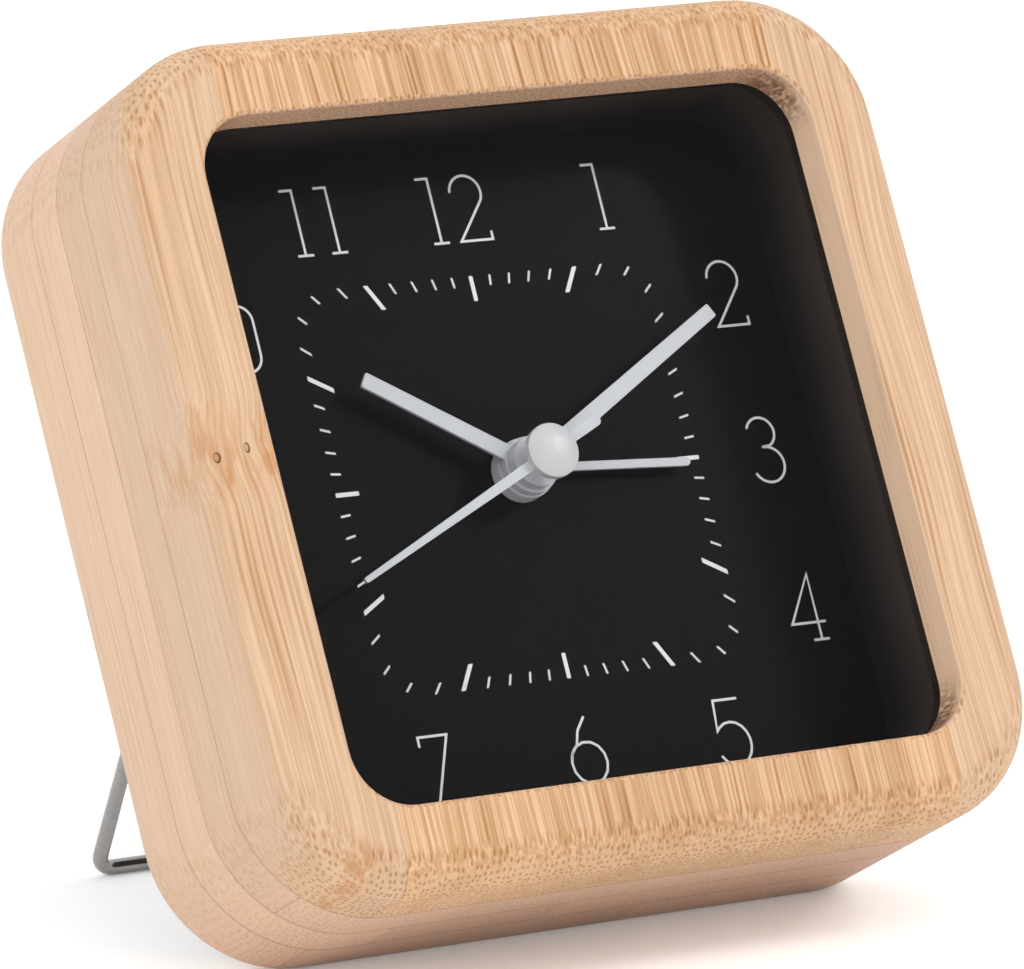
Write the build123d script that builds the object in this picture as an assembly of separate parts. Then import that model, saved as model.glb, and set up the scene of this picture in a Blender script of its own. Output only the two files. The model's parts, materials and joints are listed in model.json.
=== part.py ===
from build123d import *
import os
from math import cos, pi, radians, sin, sqrt, tan

# Square bamboo alarm clock that leans back on a wire stand.
# Each piece is drawn with the clock lying on its back: X to the right of the dial, Y up the dial,
# Z out of the dial, with zero at the rear face of the case.
# At the end the clock is stood up and leant back until the case and the stand both touch the table.

# Wooden case
case_corner_radius = 15.0
case_front_round = 4.4
case_rear_round = 3.7
rail_width = 9.2
window_corner_radius = 6.6
window_edge_round = 0.5
lip_thickness = 4.85
lip_width = 2.0
rebate_step = 2.0

# Lens, bezel and dial, dropped in from the rear
insert_clearance = 0.2
lens_thickness = 1.8
bezel_height = 9.85
bezel_reveal = 0.3
bezel_draft = 2.0
dial_thickness = 0.5
dial_hole_clearance = 0.3

# Cell and its box
cell_diameter = 14.5
cell_length = 50.5
cell_button_radius = 2.75
cell_button_height = 1.0
cell_clearance = 0.25
tub_margin = 6.3
contact_room = 2.0
contact_thickness = 0.4
contact_wall_gap = 0.5
contact_width = 9.0
leaf_thickness = 0.3
leaf_width = 5.0
tab_height = 2.0
tab_width = 4.0
tub_wall = 1.0
tub_floor = 0.6
tub_front_gap = 0.1
tub_opening_clearance = 0.3

# Rear cover and battery door
cover_thickness = 1.8
cover_recess = 0.2
cover_clearance = 0.15
door_thickness = 1.5
door_ledge = 0.7
door_clearance = 0.15
door_corner_radius = 1.2
grip_count = 4
grip_width = 0.8
grip_depth = 0.5
grip_length = 7.0
grip_spacing = 1.8
grip_inset = 4.0
sound_slot_width = 1.1
sound_slot_spacing = 2.2
sound_slot_length = 9.0
sound_slot_shares = (0.55, 0.85, 1.0, 0.85, 0.55)

# Cover screws, driven into posts of the carrier
screw_radius = 1.1
screw_length = 9.0
screw_head_radius = 2.3
screw_head_height = 1.0
screw_slot_width = 0.6
screw_slot_length = 2.8
screw_slot_depth = 0.6
screw_clearance = 0.15
post_side = 6.0
post_gap = 2.45
post_margin = 3.6
pilot_end = 1.0

# Wire stand
lean_angle = 27.5
stand_open_angle = 54.0
stand_pivot_height = 3.0
stand_width = 61.8
wire_radius = 0.85
stand_bend_radius = 2.0
stand_standoff = 0.25
pivot_overhang = 0.5
lug_width = 3.6
lug_wall = 1.1
lug_gap = 0.4
stop_width = 1.8
stop_gap = 0.08
stop_start = 1.0
stop_length = 3.5
stop_thickness = 1.4
stop_base_low = 1.6
stop_base_high = 4.5

# Fits
running_fit = 0.05
press_fit = 0.01
cut_overrun = 1.0
full_turn = 360.0
half_turn = 180.0
quarter_turn = 90.0
facet_count = 12

# Movement plates
carrier_thickness = 1.0
middle_plate_thickness = 0.8
back_plate_thickness = 1.0
tray_wall = 1.2
tray_margin = 0.7
plate_clearance = 0.15
pillar_side = 2.2
hook_thickness = 0.9
hook_width = 6.0
hook_catch = 0.6
hook_lip = 0.7
shaft_pass_clearance = 0.3

# Gear wheels
wheel_thickness = 0.8
layer_gap = 0.3
end_shake = 0.1
tooth_tip_share = 0.11
tooth_root_share = 0.26
addendum_share = 0.85
dedendum_share = 1.2
arbor_radius = 0.35
second_arbor_radius = 0.45
tube_wall = 0.5
works_stud_radius = 0.5
works_tube_wall = 0.3

# Tooth counts: motor to second wheel 30 to 1, second to centre wheel 60 to 1, minute to hour 12 to 1
rotor_teeth = 6
step_wheel_teeth = 30
step_pinion_teeth = 6
second_wheel_teeth = 36
second_pinion_teeth = 6
third_wheel_teeth = 48
third_pinion_teeth = 6
centre_wheel_teeth = 45
cannon_teeth = 10
works_wheel_teeth = 30
works_pinion_teeth = 8
hour_wheel_teeth = 32
time_set_teeth = 10
alarm_wheel_teeth = 40
alarm_set_teeth = 20

# Places of the arbors round the centre of the dial
third_arm_length = 8.1
third_angle = 195.0
step_arm_length = 8.2
step_angle = -25.0
rotor_arm_length = 5.4
rotor_angle = 10.0
works_arm_length = 6.0
works_angle = 135.0
alarm_set_arm_length = 12.0
alarm_set_angle = 45.0

# Motor
magnet_radius = 1.5
magnet_height = 1.2
stator_thickness = 0.8
stator_bore = 1.9
stator_margin = 0.7
stator_arm = 2.0
coil_gap = 1.0
coil_length = 16.0
coil_flange_radius = 2.1
coil_flange = 0.8
coil_wall = 0.4
winding_radius = 1.8
core_width = 1.6
core_thickness = 0.8
coil_end_gap = 0.3

# Circuit board
board_thickness = 0.8
board_width = 17.0
board_height = 12.5
board_wheel_gap = 1.0
board_rim = 1.0
chip_side = 5.0
chip_height = 1.0
crystal_radius = 1.0
crystal_length = 6.0
chip_shares = (0.25, 0.75)
crystal_shares = (0.75, 0.75)

# Flat strips from the cell contacts and the buzzer to the board
strip_thickness = 0.4
strip_width = 1.6
strip_edge_gap = 0.05
strip_pin_side = 0.8
strip_clearance = 0.15
strip_tab_overlap = 1.0
buzzer_strip_half = 1.5
negative_pin_shares = (0.13, 0.45)
positive_pin_shares = (0.72, 0.60)
buzzer_pin_share = 0.77

# Setting shafts and knobs
set_shaft_radius = 0.8
knob_radius = 5.5
knob_height = 4.5
knob_gap = 0.4
knob_socket_share = 0.75
knob_edge = 0.5
knob_dish_depth = 0.4
knob_rim = 1.0
flute_depth = 0.6
flute_width_share = 0.28
flute_count = 16

# Buzzer and alarm switch
buzzer_radius = 7.5
buzzer_height = 4.0
buzzer_margin = 2.8
buzzer_hole_radius = 1.2
buzzer_frame_wall = 0.9
buzzer_frame_height = 2.0
switch_gap = 2.0
switch_drop = 4.7
switch_travel = 3.0
switch_wall = 1.0
switch_floor = 1.2
slider_length = 5.0
slider_width = 3.4
slider_height = 1.4
slider_nub_length = 3.0
slider_nub_width = 2.2
slider_nub_proud = 1.0
slider_clearance = 0.2

# Hands: angles clockwise from twelve
hub_gap = 0.25
hand_thickness = 0.4
alarm_hand_angle = 93.8
alarm_hand_length = 20.7
alarm_hand_width = 0.95
alarm_hub_radius = 3.4
alarm_hub_height = 1.75
hour_hand_angle = 302.9
hour_hand_length = 21.3
hour_hand_root = 1.9
hour_hand_tip = 1.75
hour_hub_radius = 3.2
hour_hub_height = 0.95
minute_hand_angle = 61.0
minute_hand_length = 30.4
minute_hand_root = 2.0
minute_hand_tip = 1.65
minute_hub_radius = 2.9
minute_hub_height = 1.2
second_hand_angle = 246.0
second_hand_length = 28.7
second_hand_tail = 7.9
second_hand_root = 1.25
second_hand_tip = 0.65
second_hub_radius = 1.2
second_hub_height = 2.6
cap_radius = 3.05
cap_wall = 0.85
cap_dome = 0.75
tip_round = 0.2

# Heights from the rear face of the case; the stack of pieces sets the depth of the case
z_cover_out = cover_recess
z_cover_in = z_cover_out + cover_thickness
z_door_in = z_cover_out + door_thickness
z_cell = z_door_in + cell_clearance + cell_diameter / 2
z_tub_floor = z_cell + cell_diameter / 2 + cell_clearance
z_tub_front = z_tub_floor + tub_floor
z_dial_back = z_tub_front + tub_front_gap
z_dial = z_dial_back + dial_thickness
z_lens_back = z_dial + bezel_height
z_lip = z_lens_back + lens_thickness
case_depth = z_lip + lip_thickness

# Outlines: the cell box and the screw posts beside it set the cavity, and the cavity sets the case
tub_length = cell_length + 2 * contact_room
tub_height = cell_diameter + 2 * cell_clearance
contact_height = tub_height - 2 * (tab_height + contact_wall_gap)
post_place = tub_length / 2 + tub_wall + post_gap + post_side / 2
cavity_side = 2 * (post_place + post_side / 2 + post_margin)
window_side = cavity_side - 2 * lip_width
case_side = window_side + 2 * rail_width
cavity_radius = window_corner_radius + lip_width
rebate_side = cavity_side + 2 * rebate_step
rebate_radius = cavity_radius + rebate_step
insert_side = cavity_side - 2 * insert_clearance
insert_radius = cavity_radius - insert_clearance
cover_side = rebate_side - 2 * cover_clearance
cover_radius = rebate_radius - cover_clearance
door_length = tub_length + 2 * door_ledge
door_height = tub_height + 2 * door_ledge
cell_drop = cavity_side / 2 - tub_margin - tub_wall - tub_height / 2
cell_spot = (0, -cell_drop)
buzzer_spot = (0, cavity_side / 2 - buzzer_margin - buzzer_radius)
slider_room = slider_length + switch_travel + 2 * slider_clearance
switch_right = post_place - post_side / 2 - switch_gap
switch_mid = (switch_right - switch_wall - slider_room / 2, post_place - switch_drop)
switch_spot = (switch_mid[0] - switch_travel / 2, switch_mid[1])

# Tubes of the hands, one inside the other
cannon_bore = second_arbor_radius + running_fit
cannon_radius = cannon_bore + tube_wall
hour_bore = cannon_radius + running_fit
hour_radius = hour_bore + tube_wall
alarm_bore = hour_radius + running_fit
alarm_radius = alarm_bore + tube_wall

# Layers of the movement, counted from the carrier towards the rear
layer_step = wheel_thickness + layer_gap
z_carrier = z_dial_back - carrier_thickness
z_alarm_layer = z_carrier - layer_step
z_hour_layer = z_alarm_layer - layer_step
z_works_layer = z_hour_layer - layer_step
z_middle_top = z_works_layer - layer_gap
z_middle = z_middle_top - middle_plate_thickness
z_centre_layer = z_middle - layer_step
z_third_layer = z_centre_layer - layer_step
z_second_layer = z_third_layer - layer_step
z_step_layer = z_second_layer - layer_step
z_back_top = z_step_layer - layer_gap
z_back = z_back_top - back_plate_thickness

# Layers of the hand hubs, counted from the dial towards the lens
z_alarm_hub = z_dial + hub_gap
z_alarm_top = z_alarm_hub + alarm_hub_height
z_hour_hub = z_alarm_top + hub_gap
z_hour_top = z_hour_hub + hour_hub_height
z_minute_hub = z_hour_top + hub_gap
z_minute_top = z_minute_hub + minute_hub_height
z_second_hub = z_minute_top + hub_gap
z_second_top = z_second_hub + second_hub_height


def polar(start, distance, angle):
    """Place at a distance and an angle from another place on the dial."""
    return (start[0] + distance * cos(radians(angle)), start[1] + distance * sin(radians(angle)))


def module_for(distance, teeth, other_teeth):
    """Module of two meshing wheels at a given distance apart."""
    return 2 * distance / (teeth + other_teeth)


centre = (0, 0)
third_spot = polar(centre, third_arm_length, third_angle)
step_spot = polar(centre, step_arm_length, step_angle)
rotor_spot = polar(step_spot, rotor_arm_length, rotor_angle)
works_spot = polar(centre, works_arm_length, works_angle)
works_module = module_for(works_arm_length, cannon_teeth, works_wheel_teeth)
time_set_arm_length = works_module * (works_wheel_teeth + time_set_teeth) / 2
time_set_spot = polar(works_spot, time_set_arm_length, works_angle)
alarm_set_spot = polar(centre, alarm_set_arm_length, alarm_set_angle)
set_spots = (time_set_spot, alarm_set_spot)
train_spots = (third_spot, step_spot, rotor_spot)


def mesh_turn(turn, teeth, angle, other_teeth):
    """Turn of a second wheel, seen at an angle from the first, that puts a gap against a tooth."""
    return angle + half_turn + (angle - turn) * teeth / other_teeth - half_turn / other_teeth


second_pinion_module = module_for(third_arm_length, second_pinion_teeth, third_wheel_teeth)
centre_module = module_for(third_arm_length, third_pinion_teeth, centre_wheel_teeth)
second_module = module_for(step_arm_length, step_pinion_teeth, second_wheel_teeth)
step_module = module_for(rotor_arm_length, rotor_teeth, step_wheel_teeth)
hour_module = module_for(works_arm_length, works_pinion_teeth, hour_wheel_teeth)
alarm_module = module_for(alarm_set_arm_length, alarm_wheel_teeth, alarm_set_teeth)
works_turn = mesh_turn(0, cannon_teeth, works_angle, works_wheel_teeth)

# Motor places: the coil stands beside the rotor, and the tray takes in the wheels and the motor
stator_left = rotor_spot[0] - stator_bore - stator_margin
stator_right = rotor_spot[0] + stator_bore + stator_margin
coil_across = stator_right + coil_gap + coil_flange_radius
stator_end = coil_across + core_width / 2
stator_inner = coil_length / 2 + coil_end_gap
stator_outer = stator_inner + stator_arm
z_stator = z_third_layer
z_core = z_stator - core_thickness
z_coil = z_core + core_thickness / 2
spool_radius = core_width / 2 + coil_wall
third_reach = second_pinion_module * (third_wheel_teeth / 2 + addendum_share)
second_reach = second_module * (second_wheel_teeth / 2 + addendum_share)
board_hole_radius = set_shaft_radius + shaft_pass_clearance
board_hole_reach = board_hole_radius + board_rim
board_right = max(stator_left + stator_margin, alarm_set_spot[0] + board_hole_reach)
board_left = board_right - board_width
board_bottom = min(second_reach - board_wheel_gap, alarm_set_spot[1] - board_hole_reach)
tray_left = third_spot[0] - third_reach - tray_margin
tray_right = stator_end + pillar_side + 2 * tray_margin
tray_bottom = -stator_outer - tray_margin
tray_top = board_bottom + board_height + tray_margin
tray_width = tray_right - tray_left
tray_height = tray_top - tray_bottom
tray_spot = ((tray_left + tray_right) / 2, (tray_bottom + tray_top) / 2)
pillar_across = (tray_width - pillar_side) / 2 - plate_clearance
pillar_up = (tray_height - pillar_side) / 2 - plate_clearance
pillar_spots = [
    (tray_spot[0] + side * pillar_across, tray_spot[1] + end * pillar_up)
    for side in (-1, 1)
    for end in (-1, 1)
]
board_spot = (board_left + board_width / 2, board_bottom + board_height / 2)
z_board_top = z_back_top + board_thickness
z_strip = z_cover_in + strip_thickness
strip_across = tub_length / 2 - strip_edge_gap - strip_width / 2
strip_start = -cell_drop + contact_height / 2 + tab_height - strip_tab_overlap
buzzer_strip_turn = board_bottom + board_height * buzzer_pin_share


def board_place(shares):
    """Place on the board given as shares of its width and height."""
    return (board_left + board_width * shares[0], board_bottom + board_height * shares[1])


negative_pin = board_place(negative_pin_shares)
positive_pin = board_place(positive_pin_shares)
pin_spots = [negative_pin, positive_pin]
pin_spots += [(side * buzzer_strip_half, buzzer_strip_turn) for side in (-1, 1)]
post_spots = [(side * post_place, end * post_place) for side in (-1, 1) for end in (-1, 1)]

# Stand: the leg is as long as the lean and the opening angle ask
pivot_drop = wire_radius + stand_standoff + cover_recess
z_pivot = z_cover_out - pivot_drop
lean_cos = cos(radians(lean_angle))
lean_sin = sin(radians(lean_angle))
case_low_y = case_rear_round - case_side / 2
case_low = case_low_y * lean_cos + case_rear_round * lean_sin - case_rear_round
pivot_up = stand_pivot_height * lean_cos + z_pivot * lean_sin - case_low - wire_radius
stand_leg = pivot_up / cos(radians(stand_open_angle - lean_angle))
foot_y = stand_pivot_height - stand_leg * cos(radians(stand_open_angle))
foot_z = z_pivot - stand_leg * sin(radians(stand_open_angle))
stand_half = stand_width / 2
lug_outer = stand_half - stand_bend_radius - lug_gap
lug_inner = lug_outer - lug_width


def block(face, low, high):
    """Solid of a flat face between two heights."""
    return extrude(Pos(0, 0, low) * face, amount=high - low)


def square(side, radius):
    """Rounded square about the centre of the dial."""
    return RectangleRounded(side, side, radius)


def oblong(spot, width, height):
    """Plain rectangle about a place."""
    return Pos(*spot) * Rectangle(width, height)


def rod(spot, radius, low, high):
    """Round rod at a place."""
    return block(Pos(*spot) * Circle(radius), low, high)


def faceted(spot, radius, low, high):
    """Rod with a few flats round a circle, for the holes and shanks that repeat."""
    return block(Pos(*spot) * RegularPolygon(radius, facet_count, major_radius=False), low, high)


def post(spot, side, low, high):
    """Square post at a place."""
    return block(oblong(spot, side, side), low, high)


def gear_face(teeth, module):
    """Outline of a wheel with straight-sided teeth, one tooth towards +X."""
    pitch = 2 * pi / teeth
    root = module * (teeth / 2 - dedendum_share)
    tip = module * (teeth / 2 + addendum_share)
    corners = (
        (root, -tooth_root_share),
        (tip, -tooth_tip_share),
        (tip, tooth_tip_share),
        (root, tooth_root_share),
    )
    points = []
    for tooth in range(teeth):
        for reach, share in corners:
            angle = (tooth + share) * pitch
            points.append((reach * cos(angle), reach * sin(angle)))
    return Polygon(*points, align=None)


def gear(spot, teeth, module, turn, low):
    """Gear wheel one layer thick at a place."""
    return block(Pos(*spot) * Rot(0, 0, turn) * gear_face(teeth, module), low, low + wheel_thickness)


def bamboo_case():
    """Case hollowed from the rear, with the window and its lip at the front."""
    body = block(square(case_side, case_corner_radius), 0, case_depth)
    body = fillet(body.faces().sort_by(Axis.Z)[-1].edges(), case_front_round)
    body = fillet(body.faces().sort_by(Axis.Z)[0].edges(), case_rear_round)
    window = block(square(window_side, window_corner_radius), 0, case_depth + cut_overrun)
    body -= window
    front_face = body.faces().sort_by(Axis.Z)[-1]
    body = fillet(front_face.inner_wires()[0].edges(), window_edge_round)
    body -= block(square(cavity_side, cavity_radius), -cut_overrun, z_lip)
    body -= block(square(rebate_side, rebate_radius), -cut_overrun, z_cover_in)
    return body


def dial_lens():
    """Clear plate held behind the lip."""
    return block(square(insert_side, insert_radius), z_lens_back, z_lip)


def inner_bezel():
    """Black ring between the lens and the dial, narrowing a little towards the dial."""
    opening_side = window_side + 2 * bezel_reveal - 2 * bezel_height * tan(radians(bezel_draft))
    opening_radius = window_corner_radius + bezel_reveal
    opening = Pos(0, 0, z_dial) * square(opening_side, opening_radius)
    ring = block(square(insert_side, insert_radius), z_dial, z_lens_back)
    return ring - extrude(opening, amount=bezel_height, taper=-bezel_draft)


def dial_plate():
    """Dial with the hole for the hand tubes."""
    face = square(insert_side, insert_radius) - Circle(alarm_radius + dial_hole_clearance)
    return block(face, z_dial_back, z_dial)


def snap_hook(side):
    """Springy hook on a side wall of the tray that holds the back plate."""
    wall = tray_spot[0] + side * (tray_width / 2 + tray_wall)
    arm = oblong((wall + side * hook_thickness / 2, tray_spot[1]), hook_thickness, hook_width)
    barb_middle = wall + side * (hook_thickness - hook_catch) / 2
    barb = oblong((barb_middle, tray_spot[1]), hook_thickness + hook_catch, hook_width)
    return block(arm, z_back - hook_lip, z_carrier) + block(barb, z_back - hook_lip, z_back)


def movement_carrier():
    """Plate behind the dial with the movement tray, its hooks and the posts of the rear cover."""
    body = block(square(insert_side, insert_radius), z_carrier, z_dial_back)
    gap = 2 * (tub_wall + tub_opening_clearance)
    body -= block(oblong(cell_spot, tub_length + gap, tub_height + gap), 0, case_depth)
    outer = oblong(tray_spot, tray_width + 2 * tray_wall, tray_height + 2 * tray_wall)
    body += block(outer - oblong(tray_spot, tray_width, tray_height), z_back_top, z_carrier)
    body += snap_hook(-1) + snap_hook(1)
    for spot in pillar_spots:
        body += post(spot, pillar_side, z_middle_top, z_carrier)
    for spot in post_spots:
        body += post(spot, post_side, z_cover_in, z_carrier)
        body -= faceted(spot, screw_radius + press_fit, 0, z_cover_in + screw_length + pilot_end)
    body -= faceted(centre, alarm_radius + running_fit, 0, case_depth)
    for spot in set_spots:
        body -= faceted(spot, set_shaft_radius + running_fit, 0, case_depth)
    return body


def middle_plate():
    """Plate between the hand-setting wheels and the going train, with the stud of the works wheel."""
    face = oblong(tray_spot, tray_width - 2 * plate_clearance, tray_height - 2 * plate_clearance)
    pass_side = 2 * (set_shaft_radius + shaft_pass_clearance)
    for spot in set_spots:
        face -= oblong(spot, pass_side, pass_side)
    body = block(face, z_middle, z_middle_top)
    body -= faceted(centre, cannon_radius + running_fit, 0, case_depth)
    for spot in train_spots:
        body -= faceted(spot, arbor_radius + running_fit, 0, case_depth)
    return body + rod(works_spot, works_stud_radius, z_middle, z_hour_layer + wheel_thickness)


def movement_back():
    """Back plate of the movement with its four pillars."""
    edge = 2 * (tray_wall - plate_clearance)
    body = block(oblong(tray_spot, tray_width + edge, tray_height + edge), z_back, z_back_top)
    body -= faceted(centre, second_arbor_radius + running_fit, 0, case_depth)
    for spot in train_spots:
        body -= faceted(spot, arbor_radius + running_fit, 0, case_depth)
    for spot in set_spots:
        body -= faceted(spot, set_shaft_radius + running_fit, 0, case_depth)
    for spot in pin_spots:
        body -= post(spot, strip_pin_side + 2 * strip_clearance, 0, z_back_top)
    for spot in pillar_spots:
        body += post(spot, pillar_side, z_back_top, z_middle)
    return body


def second_wheel():
    """Wheel, pinion and long arbor of the second hand."""
    body = rod(centre, second_arbor_radius, z_back, z_second_top)
    body += gear(centre, second_wheel_teeth, second_module, 0, z_second_layer)
    body += gear(centre, second_pinion_teeth, second_pinion_module, 0, z_third_layer)
    return body


def train_arbor(spot):
    """Thin arbor between the middle plate and the back plate."""
    return rod(spot, arbor_radius, z_back, z_middle_top)


def third_wheel():
    """Wheel driven by the second pinion, with the pinion that drives the centre wheel."""
    turn = mesh_turn(0, second_pinion_teeth, third_angle, third_wheel_teeth)
    body = train_arbor(third_spot)
    body += gear(third_spot, third_wheel_teeth, second_pinion_module, turn, z_third_layer)
    body += gear(third_spot, third_pinion_teeth, centre_module, 0, z_centre_layer)
    return body


def centre_wheel():
    """Minute wheel that slips on the cannon pinion when the hands are set."""
    turn = mesh_turn(0, third_pinion_teeth, third_angle + half_turn, centre_wheel_teeth)
    wheel = gear(centre, centre_wheel_teeth, centre_module, turn, z_centre_layer)
    return wheel - rod(centre, cannon_radius + running_fit, z_back, z_middle)


def step_wheel():
    """Wheel between the rotor pinion and the second wheel."""
    turn = mesh_turn(0, second_wheel_teeth, step_angle, step_pinion_teeth)
    body = train_arbor(step_spot)
    body += gear(step_spot, step_pinion_teeth, second_module, turn, z_second_layer)
    body += gear(step_spot, step_wheel_teeth, step_module, 0, z_step_layer)
    return body


def rotor_pinion():
    """Pinion and arbor of the motor."""
    turn = mesh_turn(0, step_wheel_teeth, rotor_angle, rotor_teeth)
    return train_arbor(rotor_spot) + gear(rotor_spot, rotor_teeth, step_module, turn, z_step_layer)


def rotor_magnet():
    """Magnet ring pressed on the rotor arbor, level with the stator."""
    low = z_stator + (stator_thickness - magnet_height) / 2
    face = Pos(*rotor_spot) * (Circle(magnet_radius) - Circle(arbor_radius + press_fit))
    return block(face, low, low + magnet_height)


def cannon_pinion():
    """Tube of the minute hand with the pinion of the hand-setting train."""
    body = rod(centre, cannon_radius, z_centre_layer, z_minute_top)
    body += gear(centre, cannon_teeth, works_module, 0, z_works_layer)
    return body - rod(centre, cannon_bore, 0, case_depth)


def works_wheel():
    """Wheel and pinion on the stud of the middle plate, between the minute and hour tubes."""
    body = gear(works_spot, works_wheel_teeth, works_module, works_turn, z_works_layer)
    body += gear(works_spot, works_pinion_teeth, hour_module, 0, z_hour_layer)
    top = z_hour_layer + wheel_thickness
    body += rod(works_spot, works_stud_radius + works_tube_wall, z_works_layer, top)
    return body - rod(works_spot, works_stud_radius + running_fit, 0, case_depth)


def hour_wheel():
    """Wheel and tube of the hour hand."""
    turn = mesh_turn(0, works_pinion_teeth, works_angle + half_turn, hour_wheel_teeth)
    body = rod(centre, hour_radius, z_hour_layer, z_hour_top)
    body += gear(centre, hour_wheel_teeth, hour_module, turn, z_hour_layer)
    return body - rod(centre, hour_bore, 0, case_depth)


def alarm_wheel():
    """Wheel and tube of the alarm hand."""
    body = rod(centre, alarm_radius, z_alarm_layer, z_alarm_top)
    body += gear(centre, alarm_wheel_teeth, alarm_module, 0, z_alarm_layer)
    return body - rod(centre, alarm_bore, 0, case_depth)


z_knob = z_cover_out - knob_gap
z_shaft_end = z_knob - knob_height * knob_socket_share


def set_shaft(spot):
    """Setting shaft from the carrier to the knob."""
    return rod(spot, set_shaft_radius, z_shaft_end, z_dial_back - end_shake)


def time_set_shaft():
    """Shaft whose pinion turns the works wheel."""
    turn = mesh_turn(works_turn, works_wheel_teeth, works_angle, time_set_teeth)
    pinion = gear(time_set_spot, time_set_teeth, works_module, turn, z_works_layer)
    return set_shaft(time_set_spot) + pinion


def alarm_set_shaft():
    """Shaft whose pinion turns the alarm wheel."""
    turn = mesh_turn(0, alarm_wheel_teeth, alarm_set_angle, alarm_set_teeth)
    pinion = gear(alarm_set_spot, alarm_set_teeth, alarm_module, turn, z_alarm_layer)
    return set_shaft(alarm_set_spot) + pinion


def knob_face():
    """Round outline cut by V-shaped flutes."""
    points = []
    for flute in range(flute_count):
        for share, depth in ((-flute_width_share, 0), (0, flute_depth), (flute_width_share, 0)):
            points.append(polar(centre, knob_radius - depth, (flute + share) * full_turn / flute_count))
    return Polygon(*points, align=None)


def set_knob(spot):
    """Fluted knob with a round dished end, pressed on the end of a setting shaft."""
    z_end = z_knob - knob_height
    end_radius = knob_radius - flute_depth
    body = block(Pos(*spot) * knob_face(), z_end + knob_edge, z_knob)
    body += rod(spot, end_radius, z_end, z_end + knob_edge)
    body -= rod(spot, end_radius - knob_rim, z_end, z_end + knob_dish_depth)
    return body - rod(spot, set_shaft_radius + press_fit, z_shaft_end, z_knob + cut_overrun)


def pointed(angle, face, low):
    """Hand blade turned clockwise to its angle."""
    return block(Rot(0, 0, -angle) * face, low, low + hand_thickness)


def tapered(root, tip, length):
    """Hand blade with a square tip whose corners are slightly rounded."""
    half_root = root / 2
    half_tip = tip / 2
    corners = ((-half_root, 0), (half_root, 0), (half_tip, length), (-half_tip, length))
    blade = Polygon(*corners, align=None)
    return fillet(blade.vertices().sort_by(Axis.Y)[-2:], tip_round)


def rounded(root, tip, length):
    """Hand blade with round ends."""
    foot = Circle(root / 2)
    end = Pos(0, length - tip / 2) * Circle(tip / 2)
    return make_hull(foot.edges() + end.edges())


def alarm_hand():
    """Short thin hand nearest the dial."""
    blade = rounded(alarm_hand_width, alarm_hand_width, alarm_hand_length)
    body = pointed(alarm_hand_angle, blade, z_alarm_top - hand_thickness)
    body += rod(centre, alarm_hub_radius, z_alarm_hub, z_alarm_top)
    return body - rod(centre, alarm_radius + press_fit, z_dial, z_lens_back)


def hour_hand():
    """Short wide hand."""
    blade = tapered(hour_hand_root, hour_hand_tip, hour_hand_length)
    body = pointed(hour_hand_angle, blade, z_hour_top - hand_thickness)
    body += rod(centre, hour_hub_radius, z_hour_hub, z_hour_top)
    return body - rod(centre, hour_radius + press_fit, z_dial, z_lens_back)


def minute_hand():
    """Long wide hand."""
    blade = tapered(minute_hand_root, minute_hand_tip, minute_hand_length)
    body = pointed(minute_hand_angle, blade, z_minute_top - hand_thickness)
    body += rod(centre, minute_hub_radius, z_minute_hub, z_minute_top)
    return body - rod(centre, cannon_radius + press_fit, z_dial, z_lens_back)


def second_hand():
    """Long thin hand with a counterweight tail."""
    blade = rounded(second_hand_root, second_hand_tip, second_hand_length)
    tail = rounded(second_hand_root, second_hand_root, second_hand_tail)
    body = pointed(second_hand_angle, blade, z_second_top - hand_thickness)
    body += pointed(second_hand_angle + half_turn, tail, z_second_top - hand_thickness)
    body += rod(centre, second_hub_radius, z_second_hub, z_second_top)
    return body - rod(centre, second_arbor_radius + press_fit, z_dial, z_lens_back)


def second_hand_cap():
    """Button on the second hand with a low domed top."""
    dome_radius = (cap_radius * cap_radius + cap_dome * cap_dome) / (2 * cap_dome)
    wall_top = z_second_top + cap_wall
    dome = Pos(0, 0, wall_top + cap_dome - dome_radius) * Sphere(dome_radius)
    return rod(centre, cap_radius, z_second_top, wall_top + cap_dome) & (
        dome + rod(centre, cap_radius, z_second_top, wall_top)
    )


def stator():
    """Flat magnetic frame round the rotor, clear of the alarm shaft, with one arm to each end of the coil."""
    width = stator_end - stator_left
    mid = (stator_end + stator_left) / 2
    face = oblong((mid, 0), width, 2 * stator_outer)
    hollow = stator_end - stator_right
    face -= oblong((stator_right + hollow / 2, 0), hollow, 2 * stator_inner)
    face -= Pos(*rotor_spot) * Circle(stator_bore)
    face -= Pos(*alarm_set_spot) * Circle(set_shaft_radius + shaft_pass_clearance)
    return block(face, z_stator, z_stator + stator_thickness)


def coil_core():
    """Iron strip through the coil, under the stator arms."""
    return block(oblong((coil_across, 0), core_width, 2 * stator_outer), z_core, z_stator)


def along_coil(radius, low, high):
    """Round length along the coil."""
    spindle = Pos(coil_across, low, z_coil) * Rot(-quarter_turn, 0, 0)
    return spindle * extrude(Circle(radius), amount=high - low)


def core_slot():
    """Room for the core strip."""
    face = oblong((coil_across, 0), core_width + 2 * press_fit, 2 * stator_outer)
    return block(face, z_core - press_fit, z_stator + press_fit)


def coil_bobbin():
    """Spool round the core strip."""
    half = coil_length / 2
    body = along_coil(spool_radius, -half, half)
    body += along_coil(coil_flange_radius, -half, coil_flange - half)
    body += along_coil(coil_flange_radius, half - coil_flange, half)
    return body - core_slot()


def coil_winding():
    """Copper winding between the flanges of the spool."""
    half = coil_length / 2 - coil_flange
    return along_coil(winding_radius, -half, half) - along_coil(spool_radius + press_fit, -half, half)


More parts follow.
